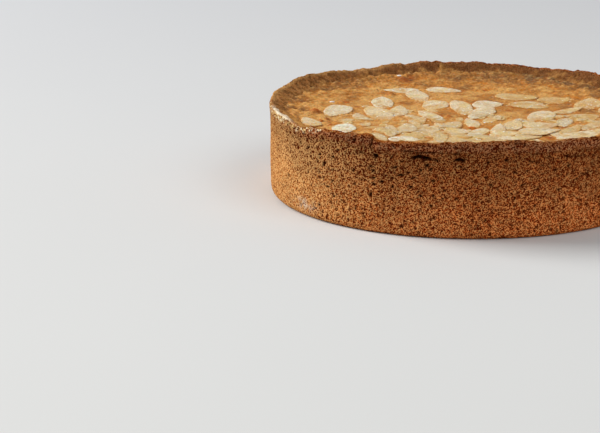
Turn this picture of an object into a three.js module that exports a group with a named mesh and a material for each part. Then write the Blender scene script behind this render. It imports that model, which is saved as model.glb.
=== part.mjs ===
// A round shortbread cake: a straight-sided shortbread crust with a raised, crumbly rim,
// filled with a baked filling that stands a little below the rim.
// Millimetres, +Z up. The origin is the centre of the flat underside.
import * as THREE from "three";

// ---- driving dimensions, mm ------------------------------------------------------------
const CAKE_RADIUS = 100; // outside of the wall: a cake from a 20 cm round tin
const RIM_HEIGHT = 47; // mean height of the rim's crest above the underside
const WALL_THICKNESS = 11; // crust wall at the filling line
const BASE_THICKNESS = 8; // crust floor
const FOOT_ROUND = 3.2; // rounding where the wall meets the underside
const CREST_ROUND = 1.3; // rounding of the rim's outer edge
const INNER_FILLET = 5; // rounding between the inside of the wall and the crust floor
const FILLING_LEVEL = 43.2; // filling's surface where it meets the crust
const FILLING_SINK = 1.6; // how far it has sunk in the middle
const FILLING_WAVE = 0.35; // gentle waves of the filling's surface
const WALL_WAVE = 0.3; // the wall's departure from a true circle
const SEAT_GAP = 0.3; // between the crust and the filling
const AROUND = 108; // facets round the cake

// The rim's crest isn't level: humps and dips, each at a direction from +X in degrees,
// with its half width in degrees and its rise in mm.
const RIM_HUMPS = [
  { at: 146, spread: 8, rise: 1.8 },
  { at: 119, spread: 9, rise: -1.3 },
  { at: 101, spread: 9, rise: 1.3 },
  { at: 82, spread: 3, rise: 1.0 },
  { at: 60, spread: 6, rise: -0.6 },
  { at: 43, spread: 8, rise: 1.6 },
  { at: 12, spread: 12, rise: -0.9 },
  { at: -24, spread: 13, rise: 0.9 },
  { at: -54, spread: 7, rise: -0.7 },
  { at: -86, spread: 13, rise: 0.9 },
  { at: -117, spread: 4, rise: -0.9 },
  { at: -149, spread: 7, rise: -2.1 },
];
// One stretch of crust stands up like a tab and ends in a sharp step.
const RIM_TAB = { from: -140, to: -119.6, edge: 3, rise: 0.9 };

const RAD = Math.PI / 180;
const smooth = (a, b, x) => THREE.MathUtils.smoothstep(x, a, b);
const turn = (degrees) => THREE.MathUtils.euclideanModulo(degrees + 180, 360) - 180;

// Height of the crest above its mean, in the direction theta (radians).
function rimRise(theta) {
  const deg = theta / RAD;
  let rise = 0.22 * Math.sin(11 * theta + 0.6) + 0.18 * Math.sin(19 * theta + 2.1) + 0.14 * Math.sin(31 * theta + 4.0);
  for (const h of RIM_HUMPS) rise += h.rise * Math.exp(-((turn(deg - h.at) / h.spread) ** 2));
  const t = turn(deg - (RIM_TAB.from + RIM_TAB.to) / 2);
  const half = (RIM_TAB.to - RIM_TAB.from) / 2;
  return rise + RIM_TAB.rise * (1 - smooth(half - RIM_TAB.edge, half, Math.abs(t)));
}

// Departure of the wall from a true circle.
function wallWave(theta, z) {
  return WALL_WAVE * (0.5 * Math.sin(2 * theta + 0.8) + 0.3 * Math.sin(5 * theta + 1.7 + 0.04 * z) + 0.2 * Math.sin(9 * theta - 0.06 * z));
}

// Waves of the filling's surface, at a point of the plan.
function fillingWave(x, y) {
  return FILLING_WAVE * (Math.sin(0.061 * x + 0.043 * y + 0.7) + 0.7 * Math.sin(0.09 * x - 0.071 * y + 2.2) + 0.5 * Math.sin(0.132 * y + 0.04 * x + 4.1));
}

// A profile in the plane of the axis, x outwards and y up, turned about Z. Each point says how far it
// follows the rim's crest, the wall's waves and the filling's waves.
function turned(profile, name, material) {
  const g = new THREE.LatheGeometry(profile.map((p) => new THREE.Vector2(p.r, p.z)), AROUND);
  g.rotateX(Math.PI / 2); // the lathe turns about Y
  const pos = g.getAttribute("position");
  for (let i = 0; i < pos.count; i++) {
    const p = profile[i % profile.length];
    if (p.r === 0) {
      pos.setZ(i, p.z + (p.filling ?? 0) * fillingWave(0, 0));
      continue;
    }
    const theta = Math.atan2(pos.getY(i), pos.getX(i));
    const r = p.r + (p.wall ?? 0) * wallWave(theta, p.z);
    const x = r * Math.cos(theta);
    const y = r * Math.sin(theta);
    pos.setXYZ(i, x, y, p.z + (p.rim ?? 0) * rimRise(theta) + (p.filling ?? 0) * fillingWave(x, y));
  }
  g.deleteAttribute("normal");
  g.deleteAttribute("uv");
  const mesh = new THREE.Mesh(g, material);
  mesh.name = name;
  return mesh;
}

// Points of an arc, ends included.
function arc(cx, cz, radius, from, to, steps) {
  return Array.from({ length: steps + 1 }, (_, i) => {
    const a = THREE.MathUtils.lerp(from, to, i / steps) * RAD;
    return { r: cx + radius * Math.cos(a), z: cz + radius * Math.sin(a) };
  });
}

// ---- the crust: floor, wall and rim in one piece ----------------------------------------
function crustProfile() {
  const inner = CAKE_RADIUS - WALL_THICKNESS;
  const points = [{ r: 0, z: 0 }];
  points.push({ r: CAKE_RADIUS * 0.5, z: 0 });
  // the underside's edge
  for (const p of arc(CAKE_RADIUS - FOOT_ROUND, FOOT_ROUND, FOOT_ROUND, -90, 0, 4))
    points.push({ ...p, wall: p.z / FOOT_ROUND });
  // the wall, which follows the crest more and more towards its top
  const wallTop = RIM_HEIGHT - CREST_ROUND;
  const rows = 5;
  for (let i = 1; i <= rows; i++) {
    const z = THREE.MathUtils.lerp(FOOT_ROUND, wallTop, i / rows);
    points.push({ r: CAKE_RADIUS, z, wall: 1, rim: smooth(0.45, 1, i / rows) });
  }
  // the crest, a narrow rounded edge
  for (const p of arc(CAKE_RADIUS - CREST_ROUND, wallTop, CREST_ROUND, 0, 105, 4).slice(1))
    points.push({ ...p, wall: 1, rim: 1 });
  // the inside of the rim slopes down to the filling
  const top = points.at(-1);
  const slope = new THREE.QuadraticBezierCurve(
    new THREE.Vector2(top.r, top.z),
    new THREE.Vector2(inner + 3.6, FILLING_LEVEL + 1.6),
    new THREE.Vector2(inner, FILLING_LEVEL - 1.2),
  ).getPoints(5).slice(1);
  slope.forEach((v, i) => points.push({ r: v.x, z: v.y, wall: 1 - (i + 1) / slope.length, rim: (1 - (i + 1) / slope.length) ** 1.3 }));
  // the inside of the wall and the crust floor
  points.push({ r: inner, z: (FILLING_LEVEL + BASE_THICKNESS) / 2 });
  points.push(...arc(inner - INNER_FILLET, BASE_THICKNESS + INNER_FILLET, INNER_FILLET, 0, -90, 3));
  points.push({ r: 0, z: BASE_THICKNESS });
  return points;
}

// ---- the filling: a plug that fills the crust up to its own surface ----------------------
function fillingProfile() {
  const outer = CAKE_RADIUS - WALL_THICKNESS - SEAT_GAP;
  const floor = BASE_THICKNESS + SEAT_GAP;
  const fillet = INNER_FILLET + SEAT_GAP;
  const points = [{ r: 0, z: floor }];
  points.push(...arc(outer - fillet, floor + fillet, fillet, -90, 0, 3));
  points.push({ r: outer, z: (FILLING_LEVEL + BASE_THICKNESS) / 2 });
  const rings = 7;
  for (let i = 0; i <= rings; i++) {
    const s = 1 - i / rings;
    const r = i === rings ? 0 : outer * s ** 0.75;
    const share = r / outer;
    points.push({ r, z: FILLING_LEVEL - FILLING_SINK * (1 - share ** 5), filling: 1 - share ** 6 });
  }
  return points;
}

const crust = new THREE.MeshStandardMaterial({ name: "crust", color: 0xa8713f, roughness: 0.85, metalness: 0 });
const filling = new THREE.MeshStandardMaterial({ name: "filling", color: 0xc4924f, roughness: 0.55, metalness: 0 });

const cake = new THREE.Group();
cake.name = "shortbread_cake";
cake.add(turned(crustProfile(), "crust", crust));
cake.add(turned(fillingProfile(), "filling", filling));

export default cake;
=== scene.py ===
"""A round shortbread cake: a porous, browned crust with a raised crumbly rim, a baked golden filling
inside it, and flaked almonds strewn over the filling.

The tables and the shape functions below are in millimetres and degrees, in the cake's own frame: the
origin is the centre of the underside and +Z is up. Meshes are scaled to metres when they are made.
"""
import math

import bpy
import numpy as np
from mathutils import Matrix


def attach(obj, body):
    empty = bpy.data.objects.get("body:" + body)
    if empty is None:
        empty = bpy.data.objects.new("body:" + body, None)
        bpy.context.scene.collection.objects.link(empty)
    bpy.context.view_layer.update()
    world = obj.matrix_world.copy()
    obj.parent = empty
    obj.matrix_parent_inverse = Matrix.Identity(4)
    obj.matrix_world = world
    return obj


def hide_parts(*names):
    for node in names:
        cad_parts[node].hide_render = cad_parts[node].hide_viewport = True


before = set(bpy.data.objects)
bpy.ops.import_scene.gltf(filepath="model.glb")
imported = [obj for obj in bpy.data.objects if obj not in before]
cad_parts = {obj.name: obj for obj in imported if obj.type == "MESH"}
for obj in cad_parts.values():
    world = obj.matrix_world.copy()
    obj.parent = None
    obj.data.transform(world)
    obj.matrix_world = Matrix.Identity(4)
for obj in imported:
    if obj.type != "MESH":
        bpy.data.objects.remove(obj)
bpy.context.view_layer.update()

MM = 0.001

# ---- the cake's sizes, as in the solid model -------------------------------------------------
CAKE_RADIUS = 100.0
RIM_HEIGHT = 47.0
WALL_THICKNESS = 11.0
BASE_THICKNESS = 8.0
FOOT_ROUND = 3.2
CREST_ROUND = 1.3
CREST_EDGE = 0.75  # rounding of the crest in the fine surface, which is sharper than the solid's
FILLING_LEVEL = 43.2
FILLING_SINK = 1.6
FILLING_WAVE = 0.35
WALL_WAVE = 0.3
INNER = CAKE_RADIUS - WALL_THICKNESS

# humps and dips of the rim: direction, half width (degrees), rise (mm)
RIM_HUMPS = [
    (146, 8, 1.8), (119, 9, -1.3), (101, 9, 1.3), (82, 3, 1.0), (60, 6, -0.6), (43, 8, 1.6),
    (12, 12, -0.9), (-24, 13, 0.9), (-54, 7, -0.7), (-86, 13, 0.9), (-117, 4, -0.9), (-149, 7, -2.1),
]
TAB_FROM, TAB_TO, TAB_EDGE, TAB_RISE = -140.0, -119.6, 3.0, 0.9


# ---- noise ------------------------------------------------------------------------------------
def scramble(i, j, k, seed):
    """A repeatable 32-bit hash of whole-number cells."""
    h = (
        i.astype(np.uint32) * np.uint32(0x8DA6B343)
        ^ j.astype(np.uint32) * np.uint32(0xD8163841)
        ^ k.astype(np.uint32) * np.uint32(0xCB1AB31F)
        ^ np.uint32((seed * 0x9E3779B1) & 0xFFFFFFFF)
    )
    h ^= h >> np.uint32(15)
    h *= np.uint32(0x2C1B3C6D)
    h ^= h >> np.uint32(12)
    h *= np.uint32(0x297A2D39)
    h ^= h >> np.uint32(15)
    return h


def perlin(p, seed):
    """Gradient noise, about -1 to 1, at points p (n, 3) in units of its cell."""
    c = np.floor(p).astype(np.int64)
    f = p - c
    w = f * f * f * (f * (f * 6 - 15) + 10)
    total = np.zeros(len(p))
    for dx in (0, 1):
        wx = w[:, 0] if dx else 1 - w[:, 0]
        for dy in (0, 1):
            wy = w[:, 1] if dy else 1 - w[:, 1]
            for dz in (0, 1):
                wz = w[:, 2] if dz else 1 - w[:, 2]
                h = scramble(c[:, 0] + dx, c[:, 1] + dy, c[:, 2] + dz, seed)
                gx = (h & np.uint32(1023)).astype(float) / 511.5 - 1
                gy = ((h >> np.uint32(10)) & np.uint32(1023)).astype(float) / 511.5 - 1
                gz = ((h >> np.uint32(20)) & np.uint32(1023)).astype(float) / 511.5 - 1
                total += wx * wy * wz * (gx * (f[:, 0] - dx) + gy * (f[:, 1] - dy) + gz * (f[:, 2] - dz))
    return total * 1.5


def fbm(p, cell, octaves, seed, gain=0.5):
    """Several octaves of gradient noise, the largest with cells of that many mm."""
    total, amount, size = np.zeros(len(p)), 1.0, cell
    for o in range(octaves):
        total += amount * perlin(p / size, seed + o)
        amount *= gain
        size *= 0.5
    return total


def worley(p, seed):
    """Distance to the nearest of one random point per cell, and that point's random share."""
    c = np.floor(p).astype(np.int64)
    best = np.full(len(p), 9.0)
    share = np.zeros(len(p))
    for dx in (-1, 0, 1):
        for dy in (-1, 0, 1):
            for dz in (-1, 0, 1):
                i, j, k = c[:, 0] + dx, c[:, 1] + dy, c[:, 2] + dz
                h = scramble(i, j, k, seed)
                qx = i + (h & np.uint32(1023)).astype(float) / 1023
                qy = j + ((h >> np.uint32(10)) & np.uint32(1023)).astype(float) / 1023
                qz = k + ((h >> np.uint32(20)) & np.uint32(1023)).astype(float) / 1023
                d = (p[:, 0] - qx) ** 2 + (p[:, 1] - qy) ** 2 + (p[:, 2] - qz) ** 2
                near = d < best
                best = np.where(near, d, best)
                share = np.where(near, (h >> np.uint32(7)).astype(float) % 997 / 997, share)
    return np.sqrt(best), share


def smooth(a, b, x):
    t = np.clip((np.asarray(x, float) - a) / (b - a), 0, 1)
    return t * t * (3 - 2 * t)


def turn(degrees):
    return (np.asarray(degrees, float) + 180) % 360 - 180


# ---- the cake's large forms -------------------------------------------------------------------
def rim_rise(theta):
    deg = np.degrees(theta)
    rise = 0.22 * np.sin(11 * theta + 0.6) + 0.18 * np.sin(19 * theta + 2.1) + 0.14 * np.sin(31 * theta + 4.0)
    for at, spread, height in RIM_HUMPS:
        rise = rise + height * np.exp(-((turn(deg - at) / spread) ** 2))
    half = (TAB_TO - TAB_FROM) / 2
    t = turn(deg - (TAB_FROM + TAB_TO) / 2)
    return rise + TAB_RISE * np.where(t > 0, 1 - smooth(half - 0.9, half, t), 1 - smooth(half - TAB_EDGE, half, -t))


def wall_wave(theta, z):
    return WALL_WAVE * (
        0.5 * np.sin(2 * theta + 0.8) + 0.3 * np.sin(5 * theta + 1.7 + 0.04 * z) + 0.2 * np.sin(9 * theta - 0.06 * z)
    )


def filling_top(x, y):
    share = np.minimum(np.hypot(x, y) / (INNER - 0.3), 1.05)
    wave = FILLING_WAVE * (
        np.sin(0.061 * x + 0.043 * y + 0.7)
        + 0.7 * np.sin(0.09 * x - 0.071 * y + 2.2)
        + 0.5 * np.sin(0.132 * y + 0.04 * x + 4.1)
    )
    return FILLING_LEVEL - FILLING_SINK * (1 - share**5) + np.maximum(1 - share**6, 0) * wave


# ---- meshes and attributes --------------------------------------------------------------------
def make_mesh(name, verts, faces, attributes=()):
    """A smooth-shaded mesh object from vertices in mm and faces given as arrays of 3 or 4 corners."""
    mesh = bpy.data.meshes.new(name)
    mesh.vertices.add(len(verts))
    mesh.vertices.foreach_set("co", (np.asarray(verts) * MM).astype(np.float32).ravel())
    sizes = np.concatenate([np.full(len(f), f.shape[1]) for f in faces])
    corners = np.concatenate([f.ravel() for f in faces])
    starts = np.concatenate([[0], np.cumsum(sizes)[:-1]])
    mesh.loops.add(len(corners))
    mesh.loops.foreach_set("vertex_index", corners.astype(np.int32))
    mesh.polygons.add(len(sizes))
    mesh.polygons.foreach_set("loop_start", starts.astype(np.int32))
    mesh.polygons.foreach_set("use_smooth", np.ones(len(sizes), bool))
    mesh.update(calc_edges=True)
    mesh.validate()
    for key, values in attributes:
        a = mesh.attributes.new(key, "FLOAT", "POINT")
        a.data.foreach_set("value", np.asarray(values, np.float32).ravel())
    obj = bpy.data.objects.new(name, mesh)
    bpy.context.scene.collection.objects.link(obj)
    return obj


# ---- the crust --------------------------------------------------------------------------------
AROUND = 980
WALL_END = 6 + 69  # rows up to the top of the wall


def crust_rows():
    """The profile from the underside's edge up the wall, over the crest and down the inside:
    r, z, how far each row follows the wall's waves and the crest, and its region."""
    rows = []
    for i in range(6):
        a = math.radians(-90 + 90 * i / 5)
        r, z = CAKE_RADIUS - FOOT_ROUND + FOOT_ROUND * math.cos(a), FOOT_ROUND + FOOT_ROUND * math.sin(a)
        rows.append((r, z, z / FOOT_ROUND, 0.0, 0))
    top = RIM_HEIGHT - CREST_EDGE
    steps = 69
    for i in range(1, steps + 1):
        share = i / steps
        rows.append((CAKE_RADIUS, FOOT_ROUND + (top - FOOT_ROUND) * share, 1.0, float(smooth(0.45, 1, share)), 1))
    for i in range(1, 5):
        a = math.radians(112 * i / 4)
        rows.append((CAKE_RADIUS - CREST_EDGE + CREST_EDGE * math.cos(a), top + CREST_EDGE * math.sin(a), 1.0, 1.0, 2))
    r0, z0 = rows[-1][:2]
    r1, z1 = INNER + 3.6, FILLING_LEVEL + 1.6
    r2, z2 = INNER, FILLING_LEVEL - 1.2
    for i in range(1, 17):
        t = i / 16
        r = (1 - t) ** 2 * r0 + 2 * t * (1 - t) * r1 + t * t * r2
        z = (1 - t) ** 2 * z0 + 2 * t * (1 - t) * z1 + t * t * z2
        rows.append((r, z, 1 - t, (1 - t) ** 1.3, 3))
    rows.append((INNER, 39.5, 0.0, 0.0, 4))
    rows.append((INNER, BASE_THICKNESS + 5, 0.0, 0.0, 4))
    rows.append((INNER - 5, BASE_THICKNESS, 0.0, 0.0, 4))
    return np.array(rows)


# cavities seen in the wall: direction, height, half width, half height, depth
CAVITIES = [
    (-119.3, 38.3, 1.7, 1.3, 2.0), (-104.2, 35.8, 1.8, 0.7, 1.4), (-95.6, 39.3, 2.2, 1.0, 2.1), (-96.4, 42.0, 1.5, 0.6, 1.2),
    (-82.5, 38.9, 1.6, 0.6, 1.2), (-75.4, 37.7, 1.5, 0.6, 1.1), (-136.9, 30.2, 1.4, 1.2, 1.5), (-120.7, 18.7, 1.1, 1.3, 1.4),
    (-138.9, 8.3, 1.5, 0.7, 1.2), (-117.2, 25.9, 1.4, 0.9, 1.3), (-120.1, 30.7, 0.8, 1.3, 1.2), (-126.3, 29.8, 0.8, 1.1, 1.2),
    (-111.5, 30.4, 1.5, 0.8, 1.4), (-106.0, 20.9, 1.3, 0.9, 1.1), (-102.5, 28.6, 0.9, 0.9, 1.1), (-113.2, 33.6, 1.2, 0.7, 1.2),
    (-99.5, 24.2, 0.9, 0.8, 1.0), (-88.0, 31.0, 0.9, 0.8, 1.0), (-68.0, 33.0, 1.3, 0.7, 1.2), (-61.0, 27.0, 0.9, 0.9, 1.1),
    (-108.1, 39.2, 1.08, 0.82, 1.48), (-138.6, 34.2, 1.03, 0.78, 1.39), (-143.5, 36.2, 1.01, 0.77, 1.36), (-119.8, 24.4, 1.01, 0.77, 1.36), (-103.1, 34.4, 1.01, 0.77, 1.35), (-114.1, 24.1, 1.0, 0.77, 1.35),
    (-106.1, 33.6, 1.0, 0.76, 1.35), (-64.1, 34.1, 0.99, 0.75, 1.32), (-64.5, 39.1, 0.98, 0.75, 1.31), (-135.3, 18.7, 0.96, 0.73, 1.27), (-119.8, 27.3, 0.94, 0.72, 1.25), (-87.4, 38.0, 0.94, 0.72, 1.24),
    (-133.8, 22.2, 0.94, 0.72, 1.24), (-77.8, 26.7, 0.93, 0.72, 1.23), (-102.0, 38.9, 0.93, 0.72, 1.23), (-70.1, 39.5, 0.93, 0.71, 1.22), (-102.9, 16.3, 0.93, 0.71, 1.22), (-109.5, 31.7, 0.93, 0.71, 1.21),
    (-80.1, 32.8, 0.92, 0.71, 1.21), (-74.1, 16.0, 0.92, 0.71, 1.21), (-55.6, 37.7, 0.91, 0.7, 1.19), (-122.6, 25.7, 0.9, 0.69, 1.17), (-73.4, 24.2, 0.9, 0.69, 1.16), (-123.4, 38.9, 0.89, 0.69, 1.16),
    (-125.9, 23.4, 0.89, 0.68, 1.15), (-79.9, 20.5, 0.89, 0.68, 1.15), (-108.3, 29.4, 0.89, 0.68, 1.15), (-111.3, 4.7, 0.88, 0.68, 1.14), (-120.5, 33.1, 0.88, 0.68, 1.13), (-111.5, 36.8, 0.88, 0.67, 1.13),
    (-99.7, 20.0, 0.88, 0.67, 1.13), (-87.8, 9.6, 0.87, 0.67, 1.12), (-133.8, 34.2, 0.87, 0.67, 1.12), (-58.9, 29.0, 0.86, 0.66, 1.1), (-94.9, 36.0, 0.85, 0.66, 1.09), (-67.0, 22.8, 0.85, 0.66, 1.09),
    (-91.4, 34.1, 0.85, 0.65, 1.08), (-139.4, 30.4, 0.84, 0.65, 1.08), (-143.9, 23.3, 0.84, 0.65, 1.07), (-103.7, 38.8, 0.84, 0.65, 1.07), (-76.5, 33.4, 0.84, 0.65, 1.07),
]
# creases and cracks: from direction and height to direction and height, half width, depth, sag in the middle
CRACKS = [
    (-109.2, 38.9, -102.4, 38.4, 1.05, 2.2, 1.1), (-112.4, 42.4, -98.8, 42.6, 0.4, 0.7, -0.4),
    (-121.0, 42.0, -119.8, 47.6, 0.45, 0.8, 0.2), (-97.6, 38.8, -93.6, 39.6, 0.6, 1.2, 0.3),
    (-80.0, 40.2, -70.0, 41.0, 0.35, 0.6, 0.5), (-66.0, 39.0, -58.0, 38.6, 0.4, 0.7, -0.4),
]


class Relief:
    """A height field over the crust's rows and columns, with pits stamped into it."""

    def __init__(self, rows, theta):
        step = np.hypot(np.diff(rows[:, 0]), np.diff(rows[:, 1]))
        self.s = np.concatenate([[0], np.cumsum(step)])
        self.r = rows[:, 0]
        self.theta = theta
        self.h = np.zeros((len(rows), len(theta)))
        self.pit = np.zeros_like(self.h)

    def stamp(self, deg, s, a, b, angle, depth, hard=0.6, lip=0.06):
        """A bowl with half axes a and b (mm), turned by angle, at a direction and a place on the profile."""
        reach = max(a, b) * 1.6
        i0, i1 = np.searchsorted(self.s, [s - reach, s + reach])
        if i1 <= i0:
            return
        n = len(self.theta)
        pitch = 2 * math.pi * CAKE_RADIUS / n
        mid = (deg % 360) / 360 * n
        w = int(math.ceil(reach / pitch))
        js = np.arange(int(round(mid)) - w, int(round(mid)) + w + 1)
        du = ((js - mid) * pitch)[None, :]
        dv = (self.s[i0:i1] - s)[:, None]
        ca, sa = math.cos(angle), math.sin(angle)
        rho2 = ((du * ca + dv * sa) / a) ** 2 + ((-du * sa + dv * ca) / b) ** 2
        bowl = np.clip(1 - rho2, 0, 1) ** hard
        edge = lip * np.exp(-(((np.sqrt(rho2) - 1.15) / 0.22) ** 2))
        cols = js % n
        block = np.ix_(np.arange(i0, i1), cols)
        self.h[block] += depth * edge
        self.h[block] = np.minimum(self.h[block], np.where(bowl > 0, self.h[block] * 0.3 - depth * bowl, self.h[block]))
        self.pit[block] = np.maximum(self.pit[block], np.minimum(1, bowl * (0.55 + 0.45 * min(depth, 1.2))))


def build_crust():
    rng = np.random.default_rng(4117)
    rows = crust_rows()
    theta = np.arange(AROUND) / AROUND * 2 * math.pi
    n_rows = len(rows)
    region = rows[:, 4]
    T = np.broadcast_to(theta, (n_rows, AROUND))
    base_r = rows[:, 0:1] + rows[:, 2:3] * wall_wave(T, rows[:, 1:2])
    rise = rim_rise(theta)
    base_z = rows[:, 1:2] + rows[:, 3:4] * rise[None, :]
    P = np.stack([base_r * np.cos(T), base_r * np.sin(T), base_z], -1).reshape(-1, 3)
    deg = np.degrees(T)

    relief = Relief(rows, theta)
    s = relief.s
    ones = np.ones((1, AROUND))
    wall = ((region == 1) | (region == 0))[:, None] * ones
    slope = (region == 3)[:, None] * ones
    crest = (region == 2)[:, None] * ones
    seen = (region < 4)[:, None]
    below_crest = base_z.max(axis=0)[None, :] - base_z  # mm under the crest, at each direction

    grid = lambda a: a.reshape(n_rows, AROUND)
    big = grid(fbm(P, 24, 2, 11))
    mid = grid(fbm(P, 6.5, 2, 21))
    fine = grid(fbm(P, 2.4, 2, 31))
    tiny = grid(perlin(P / 1.0, 41))
    bent = P + 0.55 * np.stack([perlin(P / 1.6, 45), perlin(P / 1.6, 46), perlin(P / 1.6, 47)], -1)
    cell, cell_id = worley(bent / 2.0, 51)
    cell, cell_id = grid(cell), grid(cell_id)
    crumb, _ = worley(bent / 1.35, 52)
    crumb = grid(crumb)
    squeezed = P * np.array([1 / 8.0, 1 / 8.0, 1 / 1.7])
    bands = grid(perlin(squeezed, 61) + 0.5 * perlin(squeezed * 2.1, 62))
    lip = smooth(8.6, 3.2, below_crest + 1.5 * bands + 1.1 * mid + 0.6 * fine) * wall  # the darker strip under the crest
    groove = np.exp(-(((below_crest - 6.3 + 0.9 * bands) / 0.8) ** 2)) * smooth(0.0, 0.5, big + 0.35 * mid) * wall

    # the crumb is a foam: a pit in the middle of most cells, grains between them
    open_cell = smooth(0.22, 0.50, cell_id + 0.25 * big)
    foam = smooth(0.52, 0.14, cell) * open_cell * (0.75 + 0.5 * tiny)
    foam = np.clip(foam, 0, 1)
    h = relief.h
    h += wall * (0.24 * big + 0.14 * mid + 0.08 * fine + 0.12 * (0.5 - crumb) + 0.06 * tiny - 0.24 * foam * (1 - 0.35 * lip))
    h += lip * (0.16 + 0.26 * bands + 0.16 * fine + 0.12 * tiny) - 0.75 * groove
    h += slope * (0.60 * mid + 0.24 * fine + 0.14 * (0.5 - crumb) + 0.07 * tiny - 0.12 * foam)
    h += crest * (0.20 * fine + 0.14 * tiny + 0.16 * (0.5 - crumb))

    # pores: many small, some larger, gathered in drifts
    wall_lo, wall_hi = s[3], s[WALL_END - 2]
    tries = 4600
    pdeg = rng.uniform(0, 360, tries)
    at = rng.uniform(wall_lo, wall_hi, tries)
    spot = np.stack([100 * np.cos(np.radians(pdeg)), 100 * np.sin(np.radians(pdeg)), at], -1)
    crowd = 0.5 + 0.5 * perlin(spot / 17, 71) + 0.35 * perlin(spot / 6, 72)
    keep = rng.uniform(0, 1, tries) < np.clip(0.20 + 0.60 * crowd, 0.05, 0.9)
    for d, a in zip(pdeg[keep], at[keep]):
        size = 0.38 + 0.45 * rng.beta(1.2, 4.5)
        stretch = rng.uniform(1.0, 1.8)
        relief.stamp(d, a, size * math.sqrt(stretch), size / math.sqrt(stretch), rng.uniform(0, math.pi), size * rng.uniform(0.8, 1.3))
    for _ in range(150):
        d, a = rng.uniform(0, 360), rng.uniform(wall_lo, wall_hi)
        size = rng.uniform(0.6, 0.95)
        stretch = rng.uniform(1.0, 1.8)
        relief.stamp(d, a, size * math.sqrt(stretch), size / math.sqrt(stretch), rng.normal(0, 0.7), size * rng.uniform(0.9, 1.3))
    profile_at = lambda z: np.interp(z, rows[5:WALL_END, 1], s[5:WALL_END])
    level = lambda d, z: z - float(smooth(0.45, 1, (z - 3.2) / 43.0)) * float(rim_rise(np.radians(d)))
    for d, z, a, b, depth in CAVITIES:
        z = level(d, z)
        for k in range(3):  # a ragged hole made of a few bowls
            relief.stamp(d + rng.normal(0, 0.4) * (k > 0), profile_at(z) + rng.normal(0, 0.35) * (k > 0), a * (0.95 - 0.25 * k), b * (0.95 - 0.2 * k), rng.normal(0, 0.35), depth * (0.7 + 0.15 * k), hard=0.45)
    others = 44
    for k in range(others):  # the rest of the way round
        d = -50 + 235 * (k + rng.uniform(0.1, 0.9)) / others
        z = 6 + 36 * rng.beta(2.2, 1.6)
        a, b = rng.uniform(0.8, 1.6), rng.uniform(0.5, 1.0)
        relief.stamp(d, profile_at(z), a, b, rng.normal(0, 0.4), rng.uniform(1.0, 1.8), hard=0.45)
    cracks = list(CRACKS)
    for k in range(11):
        d = -48 + 232 * (k + rng.uniform(0.1, 0.9)) / 11
        z = rng.uniform(37.5, 42.5)
        cracks.append((d, z, d + rng.uniform(3, 9), z + rng.normal(0, 0.6), rng.uniform(0.35, 0.7), rng.uniform(0.6, 1.3), rng.normal(0, 0.6)))
    for d0, z0, d1, z1, width, depth, sag in cracks:
        length = math.hypot((d1 - d0) * math.pi / 180 * 100, z1 - z0)
        count = max(3, int(length / 0.45))
        phase = rng.uniform(0, 6)
        for k in range(count + 1):
            t = k / count
            taper = math.sin(math.pi * min(max(t, 0.04), 0.96)) ** 0.6
            d = d0 + (d1 - d0) * t + 0.12 * math.sin(9 * t + phase)
            z = level(d, z0 + (z1 - z0) * t + sag * math.sin(math.pi * t) + 0.22 * math.sin(13 * t + phase))
            relief.stamp(d, profile_at(z), 0.75, width * taper * rng.uniform(0.8, 1.2), 0.0, depth * taper, hard=0.5, lip=0.02)
    # the inside of the rim has pits too
    slope_lo, slope_hi = s[WALL_END + 4], s[WALL_END + 4 + 14]
    for _ in range(170):
        size = rng.uniform(0.4, 0.8)
        relief.stamp(rng.uniform(0, 360), rng.uniform(slope_lo, slope_hi), size * rng.uniform(1, 1.5), size, rng.uniform(0, 3.1), size * rng.uniform(0.5, 0.9))

    # the crest is crumbly: small bites and lumps along it
    ring = np.stack([CAKE_RADIUS * np.cos(theta), CAKE_RADIUS * np.sin(theta), np.full(AROUND, 7.7)], -1)
    ragged = 0.30 * perlin(ring / 3.4, 81) + 0.26 * perlin(ring / 1.7, 82) + 0.14 * perlin(ring / 0.9, 83)
    for _ in range(64):
        d, width = rng.uniform(0, 360), rng.uniform(0.4, 1.3)
        ragged = ragged + rng.choice([-0.45, -0.3, 0.45], p=[0.25, 0.35, 0.4]) * np.exp(-((turn(np.degrees(theta) - d) / width) ** 2))
    ragged = ragged + 0.65 * smooth(72, 50, np.abs(turn(np.degrees(theta) - 112)))
    way = turn(np.degrees(theta))
    step = smooth(-119.4, -120.3, way) * np.exp(-((turn(way + 121.5) / 4.5) ** 2))
    ragged = ragged + 0.9 * step  # one flap of crust ends in a sharp step
    for d, width, up in [(-143.5, 3, 0.6), (-134, 4, -0.8), (-87, 4, 0.4), (-79, 4, 0.9), (-70, 3, -0.35), (-61, 3, -0.1), (120, 3, 0.8), (101.5, 4, -1.2), (146.4, 1.5, -1.1), (76, 3, -0.8), (86.5, 1.2, 0.6)]:
        ragged = ragged + up * np.exp(-((turn(way - d) / width) ** 2))
    near_crest = np.where(region[:, None] == 2, 1.0, 0.0)
    near_crest = np.where(wall > 0, smooth(3.0, 0.4, below_crest), near_crest)
    near_crest = np.where(slope > 0, smooth(2.6, 0.2, below_crest), near_crest)

    dr, dz = np.gradient(rows[:, 0]), np.gradient(rows[:, 1])
    size = np.hypot(dr, dz)
    nr, nz = dz / size, -dr / size
    h = h * seen
    foot = smooth(0.0, 2.6, rows[:, 1:2])  # the underside's edge stays on the ground
    h = np.where(region[:, None] == 0, h * foot, h)
    r = base_r + h * nr[:, None]
    z = base_z + h * nz[:, None] + near_crest * ragged[None, :]
    z[0] = 0.0
    z = np.maximum(z, 0.0)
    r = np.where(region[:, None] == 4, rows[:, 0:1], r)
    z = np.where(region[:, None] == 4, rows[:, 1:2], z)

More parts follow.
